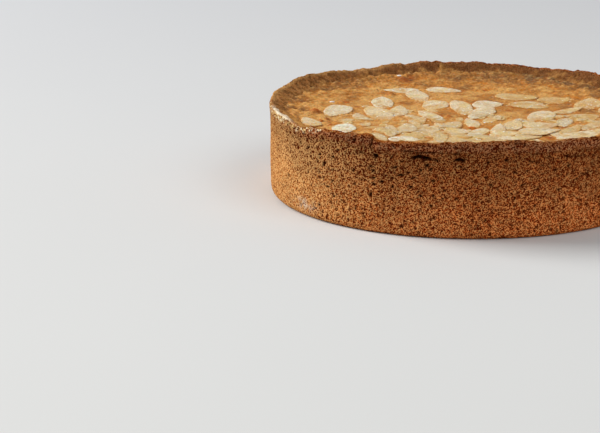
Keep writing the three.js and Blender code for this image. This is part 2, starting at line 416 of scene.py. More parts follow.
    verts = np.stack([r * np.cos(T), r * np.sin(T), z], -1).reshape(-1, 3)
    i, j = np.meshgrid(np.arange(n_rows - 1), np.arange(AROUND), indexing="ij")
    j2 = (j + 1) % AROUND
    quads = np.stack([i * AROUND + j, i * AROUND + j2, (i + 1) * AROUND + j2, (i + 1) * AROUND + j], -1).reshape(-1, 4)
    under, floor = len(verts), len(verts) + 1
    verts = np.concatenate([verts, [[0, 0, 0], [0, 0, BASE_THICKNESS]]])
    k = np.arange(AROUND)
    last = (n_rows - 1) * AROUND
    fans = np.concatenate(
        [
            np.stack([np.full(AROUND, under), (k + 1) % AROUND, k], -1),
            np.stack([np.full(AROUND, floor), last + k, last + (k + 1) % AROUND], -1),
        ]
    )

    # where it is browned, floury or pitted: darkest a little under the crest (browning); paler towards the foot, which
    # is painted bounce light from the ground
    down = [0.0, 2.6, 3.7, 5.5, 7.4, 10.0, 13.7, 18.4, 24.2, 30.5, 37.3, 43.6]
    brown = [0.48, 0.46, 0.44, 0.40, 0.40, 0.43, 0.48, 0.54, 0.64, 0.75, 0.88, 1.00]
    tan = [0.62, 0.60, 0.60, 0.61, 0.65, 0.70, 0.76, 0.85, 0.93, 0.98, 1.00, 1.00]
    pale = smooth(90, 20, np.abs(turn(deg - 183)))  # paler on the -X side, which faces the window light: partly a lighter bake, partly painted light
    depth = np.maximum(below_crest + 0.9 * bands + 0.9 * mid, 0)
    narrow = smooth(50, 18, np.abs(turn(deg - 183)))  # under the crest the paler side is narrower
    pale = np.where(slope > 0, pale, narrow + (pale - narrow) * smooth(2.5, 6.5, depth))
    shade = np.interp(depth, down, brown) * (1 - pale) + np.interp(depth, down, tan) * pale
    # the factor is also raised on the front right, between about -62 and -20 degrees: painted fill light
    shade = shade * (1 + 0.10 * big + 0.07 * mid) * (1 + 0.09 * smooth(-92, -62, turn(deg)) * smooth(30, -20, turn(deg)))
    smoky = smooth(6.6, 3.0, below_crest + 1.3 * bands + 1.0 * mid + 0.5 * fine) * np.maximum(wall, crest)
    inner = slope * smooth(0.0, 0.9, below_crest)
    share = np.clip(np.arange(n_rows) - (WALL_END + 4), 0, 16)[:, None] / 16  # 0 at the crest, 1 at the filling
    coated = smooth(-179, -157, turn(deg)) * smooth(-40, -100, turn(deg))  # here the filling was spread right up to the crest
    gilt = smooth(0.30, 0.95, 0.92 * share + 0.60 * mid + 0.35 * fine + 0.25 * big + 0.85 * coated) * slope  # filling baked on to the rim
    # the crest's edge at the back left, where the window light catches it: a painted highlight
    painted_rim_light = smooth(88, 118, turn(deg)) * smooth(186, 172, deg) * np.maximum(crest, slope * smooth(1.1, 0.2, below_crest + 0.5 * fine))
    coarse = smooth(30, 10, below_crest) * smooth(0.15, 0.6, pale) * smooth(6, 26, np.abs(turn(deg - 183))) * wall  # opener crumb high on the pale side
    patchy = 0.5 + 0.7 * perlin(ring / 11, 84) + 0.5 * perlin(ring / 4, 85) + 0.5 * np.exp(-((turn(way - 97) / 14) ** 2))
    fringe = np.maximum(crest, smooth(1.7, 0.3, below_crest + 0.9 * fine + 0.5 * tiny) * wall) * np.clip(patchy, 0.15, 1)[None, :]
    outer = np.maximum(wall, (region == 2)[:, None] * (np.arange(n_rows) < WALL_END + 2)[:, None])
    streaks = grid(perlin(P * np.array([1 / 1.1, 1 / 1.1, 1 / 2.6]), 91)) + 0.5 * fine
    flour = np.zeros_like(shade)
    for at, spread, deep, amount in [(-168, 8.0, 6.0, 1.2), (-157, 6, 5.0, 0.9), (-148, 6, 3.6, 0.75), (-140, 4, 2.4, 0.55), (-132, 4, 1.6, 0.28), (-124, 3, 1.2, 0.15)]:
        flour += amount * np.exp(-((turn(deg - at) / spread) ** 2)) * smooth(deep, 0.3 * deep, below_crest + 0.8 * mid)
    flour *= smooth(-0.25, 0.45, streaks)
    powder = 1.2 * np.exp(-((turn(deg + 145.5) / 4.2) ** 2) - ((base_z - 6.5) / 2.6) ** 2) * smooth(-0.35, 0.4, fine + 0.4 * tiny + 0.3 * mid)
    for _ in range(8):
        powder += rng.uniform(0.3, 0.5) * np.exp(-((turn(deg - rng.uniform(-40, 185)) / rng.uniform(2, 4)) ** 2) - ((base_z - rng.choice([5.0, 44.5])) / 2.0) ** 2) * smooth(-0.2, 0.5, fine)
    flour = np.clip(flour * outer, 0, 1)
    powder = powder * outer
    thread = np.exp(-((turn(deg + 163) / 9) ** 4)) * (np.abs(np.arange(n_rows) - (WALL_END + 2.0)) < 2.2)[:, None] * (0.9 + 0.4 * fine)
    pad = lambda a: np.concatenate([np.clip(a, 0, 1).ravel(), [0.4, 0.4]])
    return make_mesh(
        "crust_baked",
        verts,
        [quads, fans],
        [("shade", pad(shade)), ("smoky", pad(smoky)), ("pore", pad(relief.pit)), ("foam", pad(foam)), ("flour", pad(flour)), ("powder", pad(powder)), ("fringe", pad(fringe)), ("pale", pad(pale)), ("gilt", pad(gilt)), ("inner", pad(inner)), ("painted_rim_light", pad(painted_rim_light * (0.75 + 0.5 * fine))), ("coarse", pad(coarse)), ("thread", pad(thread)), ("coated", pad(coated * slope))],
    )


# ---- flaked almonds ---------------------------------------------------------------------------
# middle x, y, direction of the pointed end (degrees), length, width, paleness, how far its front and back edges stand up
FLAKES = [
    (30.4, 32.0, 3, 23.7, 16.1, 0.29, 0.1, 0.4), (35.6, 12.1, 172, 22.9, 16.1, 0.38, 0.4, 0.4), (49.6, 24.0, 22, 18.6, 14.1, 0.24, 0.0, 1.0), (66.4, 12.4, 75, 27.3, 13.8, 0.33, 0.0, 0.8),
    (38.2, -17.1, -116, 28.0, 13.0, 0.70, 0.1, 1.0), (54.0, -3.2, 36, 20.8, 9.6, 0.48, 0.1, 0.2), (60.4, -16.4, 168, 15.8, 12.0, 0.37, 0.0, 0.4), (62.5, -38.7, 60, 26.2, 8.6, 0.47, 0.1, 0.3),
    (48.5, -32.9, 74, 20.2, 8.4, 0.62, 0.1, 0.3), (35.6, -40.2, 16, 18.7, 13.6, 0.60, 0.1, 0.3), (32.9, -53.9, 22, 23.0, 16.4, 0.68, 0.6, 0.2), (49.4, -50.8, 65, 23.6, 8.7, 0.30, 0.2, 0.3),
    (56.7, -57.6, 38, 20.5, 7.8, 0.66, 0.1, 0.3), (51.3, -65.6, 24, 25.6, 16.2, 0.74, 0.2, 0.2), (15.7, -57.7, 24, 15.6, 12.0, 0.66, 0.1, 0.4), (2.8, -53.3, -116, 27.7, 8.5, 0.66, 0.2, 0.8),
    (13.7, -46.5, 80, 21.3, 7.8, 0.67, 0.1, 0.4), (21.9, -38.3, 73, 21.1, 10.6, 0.62, 0.0, 0.4), (2.0, -30.9, 101, 17.6, 7.5, 0.74, 0.1, 0.4), (-7.2, -49.8, 150, 15.2, 12.0, 0.55, 0.2, 0.6),
    (-8.5, -34.7, 67, 19.2, 11.4, 0.40, 0.1, 0.3), (13.1, -24.1, 56, 16.7, 7.5, 0.50, 0.0, 0.2), (-0.7, 3.4, -80, 27.0, 11.9, 0.62, 0.0, 1.9), (12.9, 10.1, 14, 17.4, 13.3, 0.86, 0.0, 0.7),
    (8.7, -8.9, -116, 27.4, 12.4, 0.66, 0.1, 1.0), (-65.5, -5.3, -106, 27.4, 13.7, 0.75, 0.0, 0.5), (-79.5, -35.3, 103, 22.7, 9.3, 0.63, 0.1, 0.1), (-63.0, -50.5, -98, 23.0, 12.5, 1.00, 0.2, 0.2),
    (-44.2, -9.5, 112, 28.3, 13.4, 0.52, 0.0, 2.2), (-41.3, 19.5, 89, 23.1, 12.5, 0.86, 0.0, 0.4), (-34.0, -3.1, 84, 27.4, 10.4, 0.62, 0.0, 0.7), (-18.5, -14.1, 114, 24.0, 9.1, 0.67, 0.0, 0.5),
    (-14.3, 10.1, -108, 23.1, 14.1, 0.69, 0.0, 0.5), (-21.6, 31.8, -77, 25.3, 11.0, 0.66, 0.0, 1.2), (-28.9, 45.5, 175, 19.0, 12.5, 0.90, 0.15, 0.3), (-7.6, 49.0, -6, 20.0, 13.0, 0.78, 0.0, 0.3),
    (-34.5, -71.5, -15, 16.5, 11.5, 1.00, 0.3, 0.3), (-21.6, -49.2, 73, 26.1, 10.7, 0.62, 0.0, 0.2), (-31.4, -44.9, 84, 22.9, 10.6, 0.62, 0.0, 0.2), (-40.0, -52.7, 89, 26.7, 7.3, 0.54, 0.0, 0.3),
    (-46.5, -71.0, 97, 25.2, 7.5, 0.45, 0.2, 0.2), (-54.0, -17.0, 107, 17.0, 7.6, 0.59, 0.0, 0.0), (-24.5, -24.3, 66, 16.1, 8.9, 0.45, 0.0, 0.1), (-16.2, -69.2, 86, 22.6, 8.0, 0.53, 0.1, 0.2),
    (-28.8, -63.3, 75, 17.0, 10.0, 0.24, 0.0, 0.1), (19.5, -70.5, 5, 18.0, 8.5, 0.66, 0.2, 0.1), (-60.8, -30.5, 100, 9.0, 5.5, 0.32, 0.0, 0.1), (-51.9, -36.2, 80, 11.0, 6.5, 0.55, 0.0, 0.1),
]
# places that stay bare: middle x, y, radius
BARE = [(36.0, -67.0, 1.5), (0.2, -39.0, 3.0), (23.7, -5.3, 10.0), (-75.0, 5.6, 12.0), (-59.9, 30.6, 15.0), (-23.5, 16.2, 5.0), (-7.6, -16.3, 4.0), (-53.8, 2.5, 3.0)]


def flake_outline(rng, length, width, whole):
    """Radius of a flake's edge in each local direction, pointed towards +X, about its middle."""
    phi = np.linspace(0, 2 * math.pi, 400, endpoint=False)
    point = rng.uniform(0.35, 0.70)
    x = np.cos(phi) * length / 2
    y = np.sin(phi) * np.abs(np.sin(phi / 2)) ** point
    y = y / np.abs(y).max() * width / 2
    wob = 1 + 0.045 * np.sin(2 * phi + rng.uniform(0, 6)) + 0.040 * np.sin(3 * phi + rng.uniform(0, 6)) + 0.022 * np.sin(5 * phi + rng.uniform(0, 6)) + 0.016 * np.sin(9 * phi + rng.uniform(0, 6))
    x, y = x * wob, y * wob
    x = x + length * 0.03
    if rng.uniform() < 0.30 and not whole:  # a broken one: cut straight across
        a = rng.choice([math.pi, 0.0, math.pi / 2, -math.pi / 2]) + rng.normal(0, 0.35)
        reach = (length if abs(math.cos(a)) > 0.7 else width) * rng.uniform(0.33, 0.44)
        over = np.maximum(x * math.cos(a) + y * math.sin(a) - reach - 0.25 * np.sin(5 * phi), 0)
        x, y = x - over * math.cos(a), y - over * math.sin(a)
    angle = np.arctan2(y, x)
    order = np.argsort(angle)
    radius = np.hypot(x, y)[order]
    angle = angle[order]
    angle = np.concatenate([angle - 2 * math.pi, angle, angle + 2 * math.pi])
    radius = np.concatenate([radius] * 3)
    return lambda a: np.interp((np.asarray(a) + math.pi) % (2 * math.pi) - math.pi, angle, radius)


CELL = 0.5  # mm, of the map that the flakes are laid on
MAP = np.arange(-92, 92 + CELL, CELL)


def scatter_flakes():
    """Broken bits first, then the flakes that aren't seen well, then the ones listed above, which lie on top."""
    rng = np.random.default_rng(88)
    centre = np.array([3.0, -14.0])
    bare = lambda x, y, r: any(math.hypot(x - a, y - b) < c + r for a, b, c in BARE)
    bits, others = [], []
    tries = 0
    while len(bits) < 130 and tries < 20000:
        tries += 1
        x, y = centre + 72 * math.sqrt(rng.uniform()) * np.array([math.cos(a := rng.uniform(0, 2 * math.pi)), math.sin(a)])
        if math.hypot(x, y) > 83 or y > -4 - 0.25 * x or x < -66 or bare(x, y, 3.0):
            continue
        bits.append((x, y, rng.uniform(0, 360), rng.uniform(4.5, 12), rng.uniform(3.5, 7.0), rng.uniform(0.25, 0.60) - (0.12 if x > 35 else 0.0), 0.0, rng.uniform(0.0, 0.7)))
    tries = 0
    while len(others) < 34 and tries < 20000:
        tries += 1
        x, y = centre + 76 * math.sqrt(rng.uniform()) * np.array([math.cos(a := rng.uniform(0, 2 * math.pi)), math.sin(a)])
        if math.hypot(x, y) > 80 or y > 40 or bare(x, y, 8.0):
            continue
        if x < 73 and (y > -58 or x < -10):
            continue
        if min(math.hypot(x - f[0], y - f[1]) for f in FLAKES + others) < (15.0 if x > 73 else 8.5):
            continue
        others.append((x, y, rng.uniform(0, 360), rng.uniform(17, 24), rng.uniform(10, 13), rng.uniform(0.25, 0.55), rng.uniform(0.0, 0.2), 0.1))
    seen = sorted(FLAKES, key=lambda f: (f[5] > 0.95, -f[1]))
    return bits + others + seen


def soften(field, cells, passes=2):
    """A box blur of a map, by running sums."""
    for _ in range(passes):
        for axis in (0, 1):
            wide = np.pad(field, [(cells + 1, cells) if a == axis else (0, 0) for a in (0, 1)], mode="edge")
            total = np.cumsum(wide, axis)
            n = field.shape[axis]
            k = 2 * cells + 1
            field = (np.take(total, np.arange(k, k + n), axis) - np.take(total, np.arange(0, n), axis)) / k
    return field


def sample(field, x, y):
    """A map's value at points, between its cells."""
    u = np.clip((np.asarray(x) - MAP[0]) / CELL, 0, len(MAP) - 1.001)
    v = np.clip((np.asarray(y) - MAP[0]) / CELL, 0, len(MAP) - 1.001)
    i, j = u.astype(int), v.astype(int)
    a, b = u - i, v - j
    return field[i, j] * (1 - a) * (1 - b) + field[i + 1, j] * a * (1 - b) + field[i, j + 1] * (1 - a) * b + field[i + 1, j + 1] * a * b


def lay_flakes(ground):
    """Lays each flake on what is under it. Returns the flakes' meshes, the height map with the flakes on it,
    and the map of what they cover."""
    rng = np.random.default_rng(612)
    top = ground.copy()
    cover = np.zeros_like(ground)
    clear = np.full_like(ground, 99.0)  # the filling stays below this, so that it shows only round the flakes' edges
    around = 40
    rings = np.array([0.0, 0.30, 0.55, 0.76, 0.91, 0.975, 1.0])
    laid = []
    for k, (x0, y0, deg, length, width, pale, stand, lean) in enumerate(scatter_flakes()):
        outline = flake_outline(rng, length, width, pale > 0.6)
        thick = rng.uniform(0.36, 0.52)
        sink = rng.uniform(0.10, 0.26)
        a = math.radians(deg)
        ca, sa = math.cos(a), math.sin(a)
        bend = rng.normal(0, 0.14)  # rise of the ends over the middle
        cup = rng.normal(0.02, 0.10)
        twist = rng.normal(0, 0.10)
        half = max(abs(length / 2 * sa), abs(width / 2 * ca)) + 1e-6

        def form(u, v):
            front = np.clip(-(u * sa + v * ca) / half, -1, 1)  # 1 at the edge that faces -Y
            u, v = u / (length / 2), v / (width / 2)
            return bend * u * u + cup * v * v + twist * u * v + stand * (0.35 + 0.65 * smooth(-0.6, 1.0, front)) + lean * (0.5 - 0.5 * front)

        reach = int(length * 0.62 / CELL) + 12
        ci, cj = int(round((x0 - MAP[0]) / CELL)), int(round((y0 - MAP[0]) / CELL))
        i0, i1 = max(ci - reach, 0), min(ci + reach + 1, len(MAP))
        j0, j1 = max(cj - reach, 0), min(cj + reach + 1, len(MAP))
        soft = top.copy()
        soft[i0:i1, j0:j1] = soften(top[i0:i1, j0:j1], 4)
        gx, gy = np.meshgrid(MAP[i0:i1], MAP[j0:j1], indexing="ij")
        u = (gx - x0) * ca + (gy - y0) * sa
        v = -(gx - x0) * sa + (gy - y0) * ca
        share = np.hypot(u, v) / outline(np.arctan2(v, u))
        inside = share < 0.98
        u, v, share = u[inside], v[inside], share[inside]
        under = top[i0:i1, j0:j1][inside]
        A = np.stack([np.ones_like(u), u, v], -1)
        plane = np.linalg.lstsq(A, under, rcond=None)[0]
        lower = 0.45 * (A @ plane) + 0.55 * soft[i0:i1, j0:j1][inside] + form(u, v)
        lift = np.percentile(under - lower, 55 + 22 * min(pale, 1.0)) - (1.1 - pale) * sink
        upper = lower + lift + thick * (1 - 0.4 * share**8)
        patch = top[i0:i1, j0:j1]
        patch[inside] = np.maximum(patch[inside], upper)
        cover[i0:i1, j0:j1][inside] = 1.0
        wavy = 0.84 + 0.10 * np.sin(3 * np.arctan2(v, u) + k) + 0.06 * np.sin(7 * np.arctan2(v, u) + 2 * k)
        bare = np.where(share < wavy, upper - 0.16, 99.0)
        clear[i0:i1, j0:j1][inside] = np.minimum(clear[i0:i1, j0:j1][inside], bare)

        phi = np.arange(around) / around * 2 * math.pi
        R = outline(phi)
        points, e, al, brim = [], [], [], []
        for side in (1, -1):
            for q in rings if side == 1 else rings[:-1]:
                uu, vv = (np.zeros(1), np.zeros(1)) if q == 0 else (q * R * np.cos(phi), q * R * np.sin(phi))
                x, y = x0 + uu * ca - vv * sa, y0 + uu * sa + vv * ca
                body = thick / 2 * (1.0 if q < 0.95 else 0.82 if q < 1 else 0.25)
                bumps = 0.05 * np.sin(uu * 0.9 + vv * 2.1 + k) + 0.04 * np.sin(vv * 2.7 - uu * 0.5 + 2 * k)
                zz = 0.45 * (plane[0] + plane[1] * uu + plane[2] * vv) + 0.55 * sample(soft, x, y) + form(uu, vv)
                zz = zz + lift + thick / 2 + side * body + bumps * (1 - q)
                points.append(np.stack([x, y, zz], -1))
                e.append(np.full(len(uu), q))
                al.append(np.stack([uu, vv], -1))
                brim.append((1 - q) * (np.full(1, R.min()) if q == 0 else R))
        laid.append((np.concatenate(points), np.concatenate(e), np.concatenate(al), np.concatenate(brim), pale, length, width, rng.uniform(size=8)))
    return laid, around, len(rings), top, cover, clear


def join_flakes(laid, around, rings, wet):
    """One mesh of all flakes; wet gives the filling's height, so that edges it reaches are golden."""
    verts, tri, quad = [], [], []
    tone, edge, toast, along, number, gold, rim, drowned = [], [], [], [], [], [], [], []
    n = np.arange(around)
    m = (n + 1) % around
    start = 0
    for points, e, al, brim, pale, length, width, luck in laid:
        ring = lambda r: start + 1 + (r - 1) * around
        low = start + 1 + (rings - 1) * around
        lring = lambda r: low + 1 + (r - 1) * around if r < rings - 1 else ring(rings - 1)
        tri.append(np.stack([np.full(around, start), ring(1) + n, ring(1) + m], -1))
        tri.append(np.stack([np.full(around, low), lring(1) + m, lring(1) + n], -1))
        for r in range(1, rings - 1):
            quad.append(np.stack([ring(r) + n, ring(r + 1) + n, ring(r + 1) + m, ring(r) + m], -1))
            quad.append(np.stack([lring(r) + m, lring(r + 1) + m, lring(r + 1) + n, lring(r) + n], -1))
        verts.append(points)
        tone.append(np.full(len(points), pale if pale > 0.9 else pale + 0.12 * (luck[4] - 0.5)))
        edge.append(e)
        along.append(al)
        spot = np.array([(luck[0] - 0.5) * length * 0.6, (luck[1] - 0.5) * width * 0.5])
        toast.append(0.9 * luck[2] * np.exp(-(((al[:, 0] - spot[0]) / (length * 0.32)) ** 2) - ((al[:, 1] - spot[1]) / (width * 0.30)) ** 2))
        number.append(np.full(len(points), luck[3]))
        gold.append(smooth(0.34, 0.02, points[:, 2] - wet(points[:, 0], points[:, 1])))
        rim.append(brim)
        way = 2 * math.pi * luck[5]  # the filling lies over one side of many flakes
        side = al[:, 0] * math.cos(way) / (length / 2) + al[:, 1] * math.sin(way) / (width / 2)
        drowned.append(smooth(0.55, 0.35, pale) * smooth(0.50, 0.95, luck[6]) * smooth(-0.35, 0.9, side))
        start += len(points)
    along = np.concatenate(along)
    attributes = [
        ("tone", np.concatenate(tone)), ("edge", np.concatenate(edge)), ("toast", np.concatenate(toast)), ("gold", np.concatenate(gold)),
        ("along", along[:, 0]), ("across", along[:, 1]), ("number", np.concatenate(number)), ("rim", np.concatenate(rim)), ("drowned", np.concatenate(drowned)),
    ]
    return make_mesh("flaked_almonds", np.concatenate(verts), [np.concatenate(tri), np.concatenate(quad)], attributes)


# ---- the filling ------------------------------------------------------------------------------
def disc_grid(n, radius):
    """An n by n grid of squares mapped evenly onto a disc."""
    a = np.linspace(-1, 1, n + 1)
    x, y = np.meshgrid(a, a, indexing="ij")
    r = np.where(np.abs(x) >= np.abs(y), x, y)
    safe_x, safe_y = np.where(x == 0, 1e-9, x), np.where(y == 0, 1e-9, y)
    phi = np.where(np.abs(x) >= np.abs(y), math.pi / 4 * y / safe_x, math.pi / 2 - math.pi / 4 * x / safe_y)
    phi = np.where((x == 0) & (y == 0), 0, phi)
    return radius * r * np.cos(phi), radius * r * np.sin(phi)


def filling_relief(x, y):
    """The bubbly surface: mm above the smooth form, how deep in a pit each point is, and how high on a bubble."""
    p = np.stack([x, y, np.full_like(x, 3.3)], -1)
    rim = smooth(70, 88, np.hypot(x, y))
    domes, _ = worley(p / 4.8, 131)
    small, _ = worley(p / 1.9, 132)
    crown = 0.5 + 0.8 * (0.58 - small) + 0.55 * (0.6 - domes) + 0.30 * perlin(p / 1.3, 145)
    up = 0.95 * (0.62 - domes) + 0.42 * (0.6 - small) + 0.20 * fbm(p, 9, 2, 141) + 0.14 * fbm(p, 2.4, 2, 142)
    up = up * (1 + 0.6 * rim) + 0.9 * smooth(80, 90, np.hypot(x, y)) * fbm(p, 7, 2, 143)
    rng = np.random.default_rng(905)
    pit = np.zeros_like(up)
    for _ in range(520):
        radius = 88 * math.sqrt(rng.uniform(0.05, 1))
        a = rng.uniform(0, 2 * math.pi)
        cx, cy, size = radius * math.cos(a), radius * math.sin(a), rng.uniform(0.5, 1.25)
        near = (np.abs(x - cx) < size * 1.6) & (np.abs(y - cy) < size * 1.6)
        if not near.any():
            continue
        q = ((x[near] - cx) ** 2 + (y[near] - cy) ** 2) / size**2
        bowl = np.clip(1 - q, 0, 1) ** 0.6
        up[near] += 0.10 * np.exp(-(((np.sqrt(q) - 1.15) / 0.25) ** 2)) - size * 0.42 * bowl
        pit[near] = np.maximum(pit[near], bowl)
    return up, pit, crown


def build_top():
    n = 300
    x, y = disc_grid(n, 91.6)
    x, y = x.ravel(), y.ravel()
    gx, gy = (g.ravel() for g in np.meshgrid(MAP, MAP, indexing="ij"))

    def strewn(x, y):  # 1 where the flakes lie thick
        return smooth(76, 58, np.hypot(x - 3, y + 14)) * smooth(54, 44, y)

    def bare_surface(x, y):
        up, pit, crown = filling_relief(x, y)
        return filling_top(x, y) + up * (1 - 0.55 * strewn(x, y)), pit, crown

    ground = bare_surface(gx, gy)[0].reshape(len(MAP), len(MAP))
    laid, around, rings, top, cover, clear = lay_flakes(soften(ground, 2, 1))
    near = soften(cover, 5)

    def risen(x, y):  # the filling rises between the flakes, and over some of them
        p = np.stack([x, y, np.full_like(x, 21.7)], -1)
        wobble = fbm(p, 5.5, 2, 171) + 0.5 * perlin(p / 1.7, 173)
        return sample(near, x, y) * (0.18 + 0.42 * wobble)

    wet_map = ground + risen(gx, gy).reshape(ground.shape)
    almonds = join_flakes(laid, around, rings, lambda x, y: sample(wet_map, x, y))

    z, pit, crown = bare_surface(x, y)
    z = z + risen(x, y)
    cell = lambda a: np.clip(np.rint((a - MAP[0]) / CELL), 0, len(MAP) - 1).astype(int)
    z = np.minimum(z, clear[cell(x), cell(y)])
    lumps = [(-76.8, -10.8, 2.6, 2.3, 1.15), (-36.0, 36.0, 1.9, 1.6, 1.0), (-28.0, 74.8, 2.8, 0.9, 0.60), (-31.5, 76.0, 1.8, 0.8, 0.60), (-8.7, -17.0, 1.8, 1.0, 1.0), (1.3, -39.3, 1.8, 0.8, 1.0), (-71.0, -26.5, 1.7, 0.9, 1.0), (-73.8, -32.0, 1.4, 0.8, 1.0), (-69.6, -43.0, 1.7, 0.9, 1.0), (-22.9, -67.0, 1.8, 0.8, 1.0), (36.5, -66.5, 2.6, 0.4, 0.75)]
    for cx, cy, size, tall, _ in lumps:  # drops of dark caramel
        z = z + tall * np.exp(-((((x - cx) ** 2 + (y - cy) ** 2) / size**2) ** 1.3))
    # darker, redder filling round the flakes: partly syrup, partly painted shade between the flakes
    syrup_and_flake_shade = np.clip(sample(near, x, y) * 1.3, 0, 1)
    glaze = sample(soften(cover, 1, 1), x, y) * smooth(-0.2, 0.15, z - sample(top, x, y)) * smooth(0.7, 0.2, z - sample(top, x, y))

    p = np.stack([x, y, np.full_like(x, 9.1)], -1)
    radius = np.hypot(x, y)
    cloud = fbm(p, 20, 3, 151)
    mottle = fbm(p, 7, 3, 161)
    patch = fbm(p, 13, 2, 163)
    way = np.degrees(np.arctan2(y, x))
    brown = 0.26 + 0.36 * cloud + 0.40 * patch + 0.30 * mottle + 0.75 * smooth(74, 90, radius + 6 * cloud + 4.5 * mottle)
    brown = brown + 0.55 * smooth(70, 84, radius + 5 * mottle) * np.exp(-((turn(way - 27) / 25) ** 2))  # browner on this side
    brown = brown - 0.12 * np.exp(-(((x - 23.7) / 9) ** 2 + ((y + 5.3) / 9) ** 2))
    brown = brown + 0.27 * smooth(52, 80, y) + 0.30 * patch * smooth(15, 60, x) + 0.17 * smooth(12, 45, x) * smooth(0, 25, y)
    brown = brown - 0.40 * smooth(64, 80, radius) * np.exp(-((turn(way + 163) / 32) ** 2))  # paler at the front left
    for cx, cy, wx, wy, more in [(-60, -20, 24, 28, -0.33), (-15, 20, 30, 22, -0.09), (-38, 74, 9, 7, 0.30), (66, 30, 17, 16, 0.18), (24, 77, 17, 9, 0.14), (44, 78, 20, 10, 0.10), (56, 12, 30, 30, 0.16)]:
        brown = brown + more * np.exp(-(((x - cx) / wx) ** 2 + ((y - cy) / wy) ** 2))
    brown = np.minimum(brown, 0.78 + 0.4 * np.exp(-((turn(way - 27) / 30) ** 2)))
    gleam = smooth(0.10, 0.55, fbm(p, 11, 2, 181) + 0.4 * mottle) * smooth(87, 76, radius)
    spots = np.zeros_like(x)
    rng = np.random.default_rng(77)
    places = [(-8.7, -17.0, 2.0, 0.8), (1.8, -39.1, 2.2, 0.8), (23.3, -53.8, 1.8, 0.8), (46.7, -56.5, 2.2, 0.7), (51.2, -12.4, 2.2, 0.7), (-27.3, 72.8, 5.0, 0.60), (-23.1, 80.0, 3.5, 0.60), (41.5, 34.6, 1.8, 0.8), (-70.2, -31.8, 2.4, 0.7), (-22.2, -63.3, 2.2, 0.8), (-32.0, 19.6, 3.0, 0.5), (-55.5, 7.5, 3.0, 0.6), (53.4, -64.7, 2.0, 0.7), (-46.8, 16.8, 2.0, 0.5), (-12.6, -14.8, 2.0, 0.7), (14.0, -48.0, 1.6, 0.6), (26.5, 7.8, 3.0, 0.5)]
    places = [(*place, 1.8) for place in places]
    for _ in range(26):
        a, r0 = rng.uniform(0, 2 * math.pi), 86 * math.sqrt(rng.uniform())
        places.append((r0 * math.cos(a), r0 * math.sin(a), rng.uniform(1.0, 3.4), rng.uniform(0.3, 0.8), rng.uniform(0.7, 1.4)))
    places += [(cx, cy, 1.45 * size, deep, 1.0) for cx, cy, size, _, deep in lumps]
    for cx, cy, size, amount, long in places:
        spots = np.maximum(spots, amount * np.exp(-(((x - cx) ** 2 + ((y - cy) / long) ** 2) / size**2)) * (0.85 + 0.4 * mottle))

    top = np.stack([x, y, z], -1)
    side = n + 1
    i, j = np.meshgrid(np.arange(n), np.arange(n), indexing="ij")
    quads = np.stack([i * side + j, (i + 1) * side + j, (i + 1) * side + j + 1, i * side + j + 1], -1).reshape(-1, 4)
    # the grid's edge, in order round the disc, then a skirt down to the crust's floor
    k = np.arange(n)
    loop = np.concatenate([k * side, n * side + k, (n - k) * side + n, n - k])
    count = len(loop)
    a = np.arctan2(y[loop], x[loop])
    skirts = [(INNER - 0.4, 38.0), (INNER - 0.4, BASE_THICKNESS + 5.6), (INNER - 5.6, BASE_THICKNESS + 0.3)]
    verts, faces, ring = [top], [quads], loop
    base = len(top)
    for r, level in skirts:
        verts.append(np.stack([r * np.cos(a), r * np.sin(a), np.full(count, level)], -1))
        new = base + np.arange(count)
        nxt = np.roll(np.arange(count), -1)
        faces.append(np.stack([ring, new, new[nxt], ring[nxt]], -1))
        ring = new
        base += count
    verts.append(np.array([[0, 0, BASE_THICKNESS + 0.3]]))
    nxt = np.roll(np.arange(count), -1)
    faces.append(np.stack([np.full(count, base), ring[nxt], ring], -1))
    extra = base + 1 - len(top)
    pad = lambda f, v: np.concatenate([np.clip(f, 0, 1), np.full(extra, v)])
    filling = make_mesh(
        "filling_baked",
        np.concatenate(verts),
        faces,
        [("brown", pad(brown, 0.5)), ("spot", pad(spots, 0)), ("syrup_and_flake_shade", pad(syrup_and_flake_shade, 0)), ("pit", pad(pit, 0)), ("glaze", pad(glaze, 0)), ("gleam", pad(gleam, 0)), ("crown", pad(crown, 0.5))],
    )
    return filling, almonds


